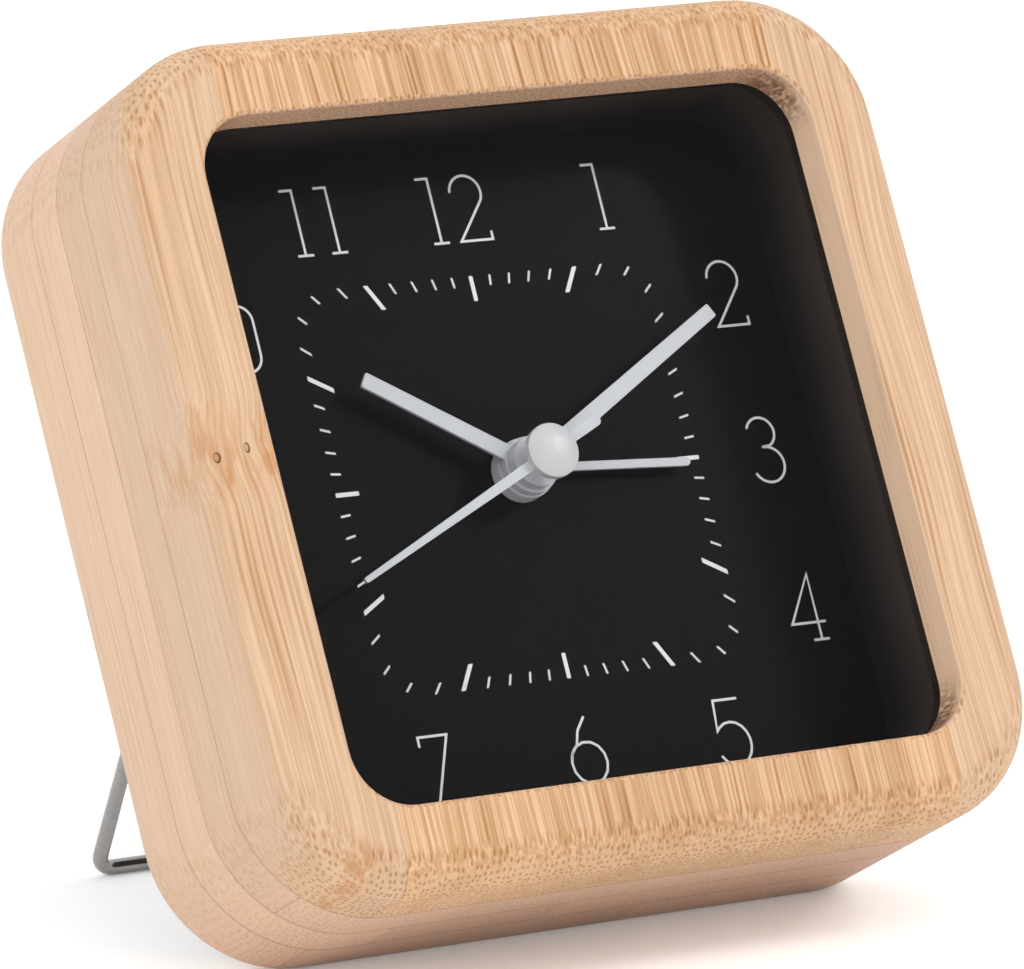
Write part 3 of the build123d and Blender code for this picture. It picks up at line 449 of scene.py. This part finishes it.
def bamboo_fibres(nodes, wood):
    """Share of dark fibre: long bundles on the faces, and their cut ends on end grain."""
    flat = nodes.rest(wood.dashes)
    coarse = fibre_bundles(nodes, wood.grain, COARSE_DENSITY, COARSE_LENGTH, COARSE_STRAY)
    dots = nodes.product(end_dots(nodes, wood.grain), wood.dashes, DOT_SHARE)
    coarse = nodes.product(nodes.math("ADD", nodes.product(coarse, flat), dots), COARSE_SHARE)
    thin = fibre_bundles(nodes, wood.grain, THIN_DENSITY, THIN_LENGTH, THIN_STRAY)
    thin_calm = nodes.product(wood.ends, THIN_SHARE * END_CALM_SHARE)
    thin = nodes.product(thin, nodes.math("SUBTRACT", THIN_SHARE, thin_calm))
    bundle = nodes.math("MAXIMUM", coarse, thin)
    patchy = nodes.product(nodes.ramp(wood.broad, *PATCH_LIMITS), PATCH_SHARE)
    patchy = nodes.math("MAXIMUM", nodes.math("ADD", patchy, 1 - PATCH_SHARE), wood.ends)
    depth = nodes.product(wood.front_look, 1 - INNER_FIBRE_SHARE)
    depth = nodes.math("ADD", depth, INNER_FIBRE_SHARE)
    depth = nodes.math("MAXIMUM", depth, nodes.product(wood.ends, END_FIBRE_SHARE))
    outer_calm = nodes.product(wood.outer, flat, OUTER_CALM_SHARE)
    return nodes.product(bundle, patchy, depth, nodes.rest(outer_calm))


def strip_tone_and_painted_shade(nodes, wood):
    """Grey that tones each strip a little by chance, with painted shade that darkens the case towards the
    right and darkens the outer left and right faces.
    """
    tone = nodes.math("ADD", nodes.product(wood.strip_chance, STRIP_TONE_SPREAD), STRIP_TONE_LOW)
    # Painted shade, lighter towards the left and darker towards the right
    tone = nodes.math("SUBTRACT", tone, nodes.product(wood.across, PAINTED_SHADE_FALL))
    # Painted shade that darkens the outer left and right faces
    tone = nodes.math("SUBTRACT", tone, nodes.product(wood.sides, wood.beyond, SIDE_PAINTED_SHADE_SHARE))
    shade = nodes.add("ShaderNodeCombineColor")
    for channel in ("Red", "Green", "Blue"):
        nodes.join(tone, shade.inputs[channel])
    return shade.outputs["Color"]


def bamboo_body(nodes, wood, bundle):
    """Colour of the wood with its fibres, strips and glue lines, with painted light on the side walls of the
    window and painted shade across the case.
    """
    calm = nodes.rest(nodes.product(wood.ends, END_CALM_SHARE))
    streak = nodes.product(nodes.ramp(wood.fine, *STREAK_LIMITS), calm)
    body = nodes.mix(streak, BAMBOO_PALE, BAMBOO_TAN)
    broad = nodes.product(nodes.ramp(wood.broad, *BROAD_LIMITS), BROAD_SHARE)
    body = nodes.mix(broad, body, BAMBOO_TAN)
    inner = nodes.product(nodes.rest(wood.front_look), INNER_TONE_SHARE)
    inner = nodes.math("MAXIMUM", inner, nodes.product(wood.outer, OUTER_TONE_SHARE))
    body = nodes.mix(inner, body, BAMBOO_INNER)
    # Painted light that makes the recessed side walls of the window paler
    cut = nodes.product(wood.sides, nodes.rest(wood.beyond), WALL_PAINTED_LIGHT_SHARE)
    body = nodes.mix(cut, body, BAMBOO_WALL_PAINTED_LIGHT)
    farthest = nodes.math("MAXIMUM", wood.aside, wood.along)
    within = nodes.math("LESS_THAN", farthest, WINDOW_HALF)
    dull_end = nodes.math("MAXIMUM", nodes.rest(wood.front), within)
    dull_end = nodes.product(dull_end, wood.ends, END_TONE_SHARE)
    body = nodes.mix(dull_end, body, BAMBOO_END)
    body = nodes.mix(bundle, body, BAMBOO_FIBRE)
    # Strip tone, with painted shade towards the right and on the outer left and right faces
    body = nodes.mix(1.0, body, strip_tone_and_painted_shade(nodes, wood), "MULTIPLY")
    line_share = nodes.math("ADD", nodes.product(wood.ends, END_LINE_SHARE), 1.0)
    return nodes.mix(nodes.product(wood.lines, line_share), body, BAMBOO_GLUE)


def stem_marks(nodes, wood, body):
    """Colour with the growth ring of the stem, its two knots and a few stains."""
    blotch = nodes.grain(wood.place, *BLOTCH_GRAIN)
    band = nodes.product(wood.ring, nodes.ramp(blotch, *RING_LIMITS), RING_STAIN_SHARE)
    body = nodes.mix(band, body, BAMBOO_STAIN)
    for across, up, size in STAIN_PLACES:
        stain = spot_mask(nodes, wood, (across, up), (size, size * STAIN_STRETCH), STAIN_SOLID_SHARE)
        stain = nodes.product(stain, nodes.ramp(blotch, *STAIN_LIMITS), wood.front, STAIN_SHARE)
        body = nodes.mix(stain, body, BAMBOO_STAIN)
    for knot in KNOT_PLACES:
        hole = (knot[0] + KNOT_HOLE_SHIFT[0], knot[1] + KNOT_HOLE_SHIFT[1])
        outer = nodes.product(wood.front, spot_mask(nodes, wood, knot, KNOT_SIZE, KNOT_SOLID_SHARE))
        inner = spot_mask(nodes, wood, hole, KNOT_HOLE_SIZE, KNOT_HOLE_SOLID_SHARE)
        rim = nodes.product(outer, nodes.rest(inner), KNOT_RIM_SHARE)
        body = nodes.mix(nodes.product(outer, KNOT_STAIN_SHARE), body, BAMBOO_STAIN)
        body = nodes.mix(rim, body, BAMBOO_KNOT)
    return body


def burnt_corners(nodes, wood, body):
    """Colour with the scorched corners of the window wall."""
    low = nodes.ramp(wood.out, WINDOW_WALL_LOW, WINDOW_WALL_LOW + WALL_FADE_LOW)
    high = nodes.rest(nodes.ramp(wood.out, WINDOW_WALL_HIGH - WALL_FADE_HIGH, WINDOW_WALL_HIGH))
    side = near(nodes, wood.aside, BURN_CORNER, BURN_HALF, BURN_REACH)
    end = near(nodes, wood.along, BURN_CORNER, BURN_HALF, BURN_REACH)
    streaky = nodes.ramp(nodes.grain(wood.place, *BURN_GRAIN), *BURN_LIMITS)
    burn = nodes.product(side, end, low, high, streaky, BURN_SHARE)
    return nodes.mix(burn, body, BAMBOO_BURN)


def bamboo_material():
    """Laminated bamboo: fibres run up the dial, layers lie one behind another."""
    nodes = Nodes("bamboo")
    wood = wood_values(nodes)
    bundle = bamboo_fibres(nodes, wood)
    body = bamboo_body(nodes, wood, bundle)
    body = stem_marks(nodes, wood, body)
    nodes.colour(burnt_corners(nodes, wood, body))
    nodes.vary_roughness(wood.fine, *BAMBOO_ROUGHNESS)
    relief = nodes.math("SUBTRACT", nodes.product(wood.fine, FINE_RELIEF_SHARE), bundle)
    nodes.bump(relief, BAMBOO_BUMP, BAMBOO_RELIEF)
    nodes.gloss(BAMBOO_GLOSS)
    return nodes.material


# Moulded plastic: noise is a scale per millimetre and a detail, relief is in millimetres
MOULD_GRAIN = 1.6
BOARD_GRAIN = 0.9
MOULD_DETAIL = 3.0
CLOUD_NOISE = (0.08, 2.0)
MOULD_DARK_SHARE = 0.82
MOULD_ROUGHNESS_SPREAD = 0.06
MOULD_BUMP = 0.2
MOULD_RELIEF = 0.02
MOULD_GLOSS = 0.5

# Metal: stretch of its drawn or wound lines per millimetre across, up and out of the dial
DRAWN_LINES = (0.3, 0.3, 3.0)
WOUND_LINES = (0.5, 7.0, 0.5)
METAL_DETAIL = 4.0
METAL_DARK_SHARE = 0.8
METAL_SMOOTHER = 0.05
METAL_ROUGHER = 0.08

# Paint, and the satin bezel with painted shade near the dial that turns into a painted brown reflection of
# the wood towards the front, between two depths in millimetres
FLOW_NOISE = (0.5, 2.0)
PAINT_DARK_SHARE = 0.93
PAINT_ROUGHNESS_SPREAD = 0.05
PAINT_GLOSS = 0.4
BEZEL_PAINTED_SHADE = (0.010, 0.009, 0.009, 1)
BEZEL_PAINTED_REFLECTION = (0.046, 0.037, 0.034, 1)
BEZEL_PAINTED_LIGHT_DEPTH = (1.0, 10.5)
BEZEL_ROUGHNESS = (0.31, 0.41)

# Lens, nearly clear, with faint smears
LENS_SMEAR = ((0.05, 0.16, 0.16), 3.0)
LENS_COLOUR = (0.015, 0.016, 0.016, 1)
LENS_ALPHA = 0.04
LENS_GLOSS = 0.5
LENS_ROUGHNESS = (0.02, 0.08)

# Finishes by name: colour, roughness, and then gloss of paint, grain of plastic or lines of metal
PAINTS = (
    ("dial_black", (0.007, 0.007, 0.0075), 0.09, 0.055),
    ("hand_grey", (0.490, 0.508, 0.545), 0.40, PAINT_GLOSS),
    ("cap_grey", (0.530, 0.540, 0.550), 0.36, PAINT_GLOSS),
    ("cell_label", (0.06, 0.07, 0.09), 0.3, PAINT_GLOSS),
)
PLASTICS = (
    ("black_plastic", (0.020, 0.020, 0.021), 0.42, MOULD_GRAIN),
    ("frame_plastic", (0.060, 0.060, 0.065), 0.5, MOULD_GRAIN),
    ("gear_plastic", (0.78, 0.77, 0.72), 0.45, MOULD_GRAIN),
    ("board", (0.30, 0.20, 0.08), 0.55, BOARD_GRAIN),
    ("chip", (0.025, 0.025, 0.025), 0.5, MOULD_GRAIN),
)
METALS = (
    ("steel_wire", (0.38, 0.362, 0.352), 0.24, DRAWN_LINES),
    ("steel", (0.58, 0.58, 0.57), 0.32, DRAWN_LINES),
    ("brass", (0.72, 0.52, 0.22), 0.28, DRAWN_LINES),
    ("copper", (0.70, 0.30, 0.12), 0.35, WOUND_LINES),
    ("magnet", (0.16, 0.16, 0.17), 0.5, DRAWN_LINES),
)
INK = ("ink", (0.78, 0.79, 0.81), 0.55, PAINT_GLOSS)


def painted_material(name, colour, rough, level):
    """Smooth satin paint with a slight flow."""
    nodes = Nodes(name)
    flow = nodes.noise(nodes.clock_place(), *FLOW_NOISE)
    nodes.tint(flow, colour, PAINT_DARK_SHARE)
    nodes.vary_roughness(flow, rough - PAINT_ROUGHNESS_SPREAD, rough + PAINT_ROUGHNESS_SPREAD)
    nodes.gloss(level)
    return nodes.material


def moulded_material(name, colour, rough, grain):
    """Moulded plastic with a fine spark-eroded grain."""
    nodes = Nodes(name)
    place = nodes.clock_place()
    grainy = nodes.noise(place, grain, MOULD_DETAIL)
    nodes.tint(nodes.noise(place, *CLOUD_NOISE), colour, MOULD_DARK_SHARE)
    nodes.vary_roughness(grainy, rough - MOULD_ROUGHNESS_SPREAD, rough + MOULD_ROUGHNESS_SPREAD)
    nodes.bump(grainy, MOULD_BUMP, MOULD_RELIEF)
    nodes.gloss(MOULD_GLOSS)
    return nodes.material


def metal_material(name, colour, rough, lines):
    """Metal with faint drawn lines."""
    nodes = Nodes(name)
    drawn = nodes.grain(nodes.clock_place(), lines, METAL_DETAIL)
    nodes.tint(drawn, colour, METAL_DARK_SHARE)
    nodes.shader.inputs["Metallic"].default_value = 1.0
    nodes.vary_roughness(drawn, rough - METAL_SMOOTHER, rough + METAL_ROUGHER)
    return nodes.material


def bezel_material():
    """Satin black plastic with painted shade near the dial and a painted brown reflection of the wood
    towards the front.
    """
    nodes = Nodes("bezel_plastic_painted_reflection")
    place = nodes.clock_place()
    # Painted shade near the dial and painted reflection of the wood towards the front, set by depth
    share = nodes.ramp(nodes.axes(place)[2], *BEZEL_PAINTED_LIGHT_DEPTH)
    nodes.colour(nodes.mix(share, BEZEL_PAINTED_SHADE, BEZEL_PAINTED_REFLECTION))
    nodes.vary_roughness(nodes.noise(place, *FLOW_NOISE), *BEZEL_ROUGHNESS)
    nodes.gloss(PAINT_GLOSS)
    return nodes.material


def lens_material():
    """Clear plate that shows only a faint reflection, with slight smears."""
    nodes = Nodes("lens")
    nodes.colour(LENS_COLOUR)
    nodes.shader.inputs["Alpha"].default_value = LENS_ALPHA
    nodes.vary_roughness(nodes.grain(nodes.clock_place(), *LENS_SMEAR), *LENS_ROUGHNESS)
    nodes.gloss(LENS_GLOSS)
    return nodes.material


def make_finishes():
    """Material of each slot in the record."""
    finishes = {"bamboo": bamboo_material(), "lens": lens_material()}
    kinds = ((painted_material, PAINTS), (moulded_material, PLASTICS), (metal_material, METALS))
    for make, rows in kinds:
        for row in rows:
            finishes[row[0]] = make(*row)
    return finishes


def set_finish(name, material):
    """Give one piece of the clock a material."""
    materials = frame["nodes"][name].data.materials
    materials.clear()
    materials.append(material)


def finish_nodes():
    """Give every piece of the clock the finish of its slot in the record, and the bezel its own."""
    finishes = make_finishes()
    for part in frame["record"]["subparts"]:
        set_finish(part["node"], finishes[part["material_slot"]])
    set_finish("inner_bezel", bezel_material())


# Printed dial, in millimetres from the middle of the dial
INK_HEIGHT = 0.03
FULL_TURN = 360
MINUTES = 60
HOUR_MINUTES = 5
TRACK_OUTER = 23.0
TRACK_RADIUS = 5.3
REACH_STEPS = 40
SHORT_TICK = 1.2
LONG_TICK = 2.85
SHORT_TICK_WIDTH = 0.24
LONG_TICK_WIDTH = 0.48
STROKE_WIDTH = 0.28
SHARP_BEND = 0.2
WIDEN_LIMIT = 0.45
NUMBER_ACROSS = 31.7
NUMBER_NEAR = 18.45
NUMBER_TOP = 30.75
NUMBER_LEVEL = 18.3
NUMBER_BOTTOM = -31.15
ELEVEN_ACROSS = -17.67
DIGIT_GAP = 1.35
ELEVEN_GAP = 1.7
DIGIT_HEIGHT = 7.5
ARC_POINTS = 14
PRINT_TURN = radians(0.52)
PRINT_SHIFT = (0.12, -0.30)
PRINT_BODY = "clock_case"


def print_point(across, up, out):
    """World place of a point of the print, which sits a little askew on the dial."""
    turned_across = across * cos(PRINT_TURN) + up * sin(PRINT_TURN) + PRINT_SHIFT[0]
    turned_up = up * cos(PRINT_TURN) - across * sin(PRINT_TURN) + PRINT_SHIFT[1]
    offset = Vector((turned_across, 0, 0)) + up_dial * turned_up + out_of_dial * out
    return dial_middle + offset * MILLIMETRE


def rounded_reach(direction, start, half, radius):
    """Distance along a ray from a point near the middle to the edge of a rounded square."""
    low = 0.0
    high = 2 * half
    inner = half - radius
    for _ in range(REACH_STEPS):
        reach = (low + high) / 2
        across = abs(start[0] + direction[0] * reach)
        up = abs(start[1] + direction[1] * reach)
        beyond = (max(across - inner, 0.0), max(up - inner, 0.0))
        inside = across <= half and up <= half and sqrt(beyond[0] ** 2 + beyond[1] ** 2) <= radius
        if inside:
            low = reach
        else:
            high = reach
    return low


def tick_corners(minute):
    """Four corners of one minute mark, cut off by the two rounded squares of the track."""
    angle = radians(FULL_TURN / MINUTES * minute)
    ray = (sin(angle), cos(angle))
    side = (ray[1], -ray[0])
    hour = minute % HOUR_MINUTES == 0
    half = (LONG_TICK_WIDTH if hour else SHORT_TICK_WIDTH) / 2
    length = LONG_TICK if hour else SHORT_TICK
    corners = []
    for sign, ends in ((-1, (0, length)), (1, (length, 0))):
        start = (side[0] * half * sign, side[1] * half * sign)
        for inset in ends:
            reach = rounded_reach(ray, start, TRACK_OUTER - inset, TRACK_RADIUS - inset)
            corners.append((start[0] + ray[0] * reach, start[1] + ray[1] * reach))
    return corners


def arc(middle, across, up, first, last):
    """Points on an ellipse between two angles in degrees."""
    angles = [radians(first + (last - first) * step / ARC_POINTS) for step in range(ARC_POINTS + 1)]
    return [(middle[0] + across * cos(angle), middle[1] + up * sin(angle)) for angle in angles]


# Strokes of each digit in millimetres, from the lower left of the digit; each has its width first
DIGITS = {
    "0": (3.6, [arc((1.8, 5.75), 1.8, 1.8, 180, 0) + arc((1.8, 1.8), 1.8, 1.8, 0, -180) + [(0, 5.75)]]),
    "1": (2.55, [[(0, 7.5), (1.5, 7.5), (1.5, 0)], [(0.55, 0), (2.5, 0)]]),
    "2": (4.1, [arc((2.0, 5.5), 1.95, 2.0, 175, -28) + [(0.1, 0), (4.1, 0), (4.1, 0.95)]]),
    "3": (
        4.1,
        [
            arc((1.95, 5.75), 1.75, 1.75, 160, -62) + [(1.7, 4.1)],
            [(1.7, 4.1)] + arc((2.0, 2.05), 2.05, 2.05, 78, -155),
        ],
    ),
    "4": (4.35, [[(3.35, 0), (3.35, 7.5), (0, 2.0), (4.35, 2.0)], [(2.3, 0), (4.3, 0)]]),
    "5": (4.35, [[(3.8, 7.45), (0.75, 7.45), (0.45, 4.0)] + arc((2.15, 2.45), 2.2, 2.45, 128, -150)]),
    "6": (
        4.4,
        [
            arc((2.2, 2.35), 2.2, 2.35, 150, 510),
            [(2.75, 7.5), (1.6, 6.0)] + arc((2.2, 2.35), 2.2, 2.35, 120, 165),
        ],
    ),
    "7": (3.6, [[(0, 6.3), (0, 7.4), (3.6, 7.4), (0.85, 0)]]),
    "8": (4.1, [arc((2.05, 5.65), 1.75, 1.8, -90, 270), arc((2.05, 1.95), 2.05, 1.95, 90, 450)]),
    "9": (
        4.4,
        [
            arc((2.2, 5.15), 2.2, 2.35, -30, 330),
            [(1.65, 0), (2.8, 1.5)] + arc((2.2, 5.15), 2.2, 2.35, -60, -15),
        ],
    ),
}
NUMBERS = (
    ("12", 0, NUMBER_TOP),
    ("1", NUMBER_NEAR, NUMBER_TOP),
    ("2", NUMBER_ACROSS, NUMBER_LEVEL),
    ("3", NUMBER_ACROSS, 0),
    ("4", NUMBER_ACROSS, -NUMBER_LEVEL),
    ("5", NUMBER_NEAR, NUMBER_BOTTOM),
    ("6", 0, NUMBER_BOTTOM),
    ("7", -NUMBER_NEAR, NUMBER_BOTTOM),
    ("8", -NUMBER_ACROSS, -NUMBER_LEVEL),
    ("9", -NUMBER_ACROSS, 0),
    ("10", -NUMBER_ACROSS, NUMBER_LEVEL),
    ("11", ELEVEN_ACROSS, NUMBER_TOP),
)


def ribbon(path):
    """Left and right edges of a stroke of even width along a path."""
    left = []
    right = []
    for index, point in enumerate(path):
        before = Vector(path[max(index - 1, 0)])
        after = Vector(path[min(index + 1, len(path) - 1)])
        here = Vector(point)
        first = (here - before).normalized() if index else (after - here).normalized()
        second = (after - here).normalized() if index < len(path) - 1 else first
        bend = (first + second).normalized() if (first + second).length > SHARP_BEND else first
        normal = Vector((-bend.y, bend.x))
        widen = 1 / max(abs(normal.dot(Vector((-first.y, first.x)))), WIDEN_LIMIT)
        left.append(here + normal * (STROKE_WIDTH / 2 * widen))
        right.append(here - normal * (STROKE_WIDTH / 2 * widen))
    return left, right


def add_prism(mesh, corners):
    """Thin closed slab of ink over a polygon on the dial."""
    bottom = [mesh.verts.new(print_point(corner[0], corner[1], 0)) for corner in corners]
    top = [mesh.verts.new(print_point(corner[0], corner[1], INK_HEIGHT)) for corner in corners]
    mesh.faces.new(top)
    mesh.faces.new(bottom[::-1])
    count = len(corners)
    for index in range(count):
        after = (index + 1) % count
        mesh.faces.new((bottom[index], bottom[after], top[after], top[index]))


def number_strokes(text, across, up):
    """Strokes of one number about its middle."""
    gap = ELEVEN_GAP if text == "11" else DIGIT_GAP
    width = sum(DIGITS[digit][0] for digit in text) + gap * (len(text) - 1)
    start = across - width / 2
    strokes = []
    for digit in text:
        digit_width, paths = DIGITS[digit]
        for path in paths:
            strokes.append([(start + point[0], up - DIGIT_HEIGHT / 2 + point[1]) for point in path])
        start += digit_width + gap
    return strokes


def add_piece(name, mesh, material, body):
    """New object with one material that rides on a body of the clock."""
    piece = bpy.data.objects.new(name, mesh)
    bpy.context.scene.collection.objects.link(piece)
    piece.data.materials.append(material)
    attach(piece, body)


def dial_print():
    """Minute track and plain hour numbers printed on the dial."""
    mesh = bmesh.new()
    for minute in range(MINUTES):
        add_prism(mesh, tick_corners(minute))
    for text, across, up in NUMBERS:
        for path in number_strokes(text, across, up):
            left, right = ribbon(path)
            for index in range(len(path) - 1):
                add_prism(mesh, (left[index], right[index], right[index + 1], left[index + 1]))
    bmesh.ops.recalc_face_normals(mesh, faces=mesh.faces)
    data = bpy.data.meshes.new("dial_print")
    mesh.to_mesh(data)
    mesh.free()
    add_piece("dial_print", data, painted_material(*INK), PRINT_BODY)


def set_floor():
    """Wide pale floor under the clock, that also looks pale in reflections."""
    mesh = bpy.data.meshes.new("floor")
    corners = [
        (-FLOOR_REACH, -FLOOR_REACH, 0),
        (FLOOR_REACH, -FLOOR_REACH, 0),
        (FLOOR_REACH, FLOOR_REACH, 0),
        (-FLOOR_REACH, FLOOR_REACH, 0),
    ]
    mesh.from_pydata(corners, [], [range(len(corners))])
    floor = bpy.data.objects.new("floor", mesh)
    bpy.context.scene.collection.objects.link(floor)
    nodes = Nodes("floor")
    nodes.colour(FLOOR_COLOUR)
    nodes.gloss(FLOOR_GLOSS)
    nodes.shader.inputs["Roughness"].default_value = FLOOR_ROUGHNESS
    nodes.shader.inputs["Emission Color"].default_value = WHITE
    rays = nodes.add("ShaderNodeLightPath").outputs
    seen = nodes.math("ADD", rays["Is Camera Ray"], rays["Is Glossy Ray"])
    seen = nodes.math("ADD", seen, rays["Is Transmission Ray"], clamp=True)
    nodes.join(nodes.product(seen, FLOOR_GLOW), nodes.shader.inputs["Emission Strength"])
    mesh.materials.append(nodes.material)


def add_light(name, place, size, power):
    """Soft square light that shines on the clock."""
    data = bpy.data.lights.new(name, "AREA")
    data.shape = "SQUARE"
    data.size = size
    data.energy = power
    turn_towards(bpy.data.objects.new(name, data), place, LIGHT_TARGET)


def set_light():
    """Soft studio light: a bright surround, a key from the upper right and a fill from the left."""
    world = bpy.data.worlds.new("studio")
    bpy.context.scene.world = world
    world.use_nodes = True
    surround = world.node_tree.nodes["Background"]
    surround.inputs["Color"].default_value = WHITE
    surround.inputs["Strength"].default_value = SURROUND_STRENGTH
    add_light("key", KEY_PLACE, KEY_SIZE, KEY_POWER)
    add_light("fill", FILL_PLACE, FILL_SIZE, FILL_POWER)
    bpy.context.scene.view_settings.view_transform = "Standard"


set_camera()
set_floor()
set_light()
finish_nodes()
dial_print()
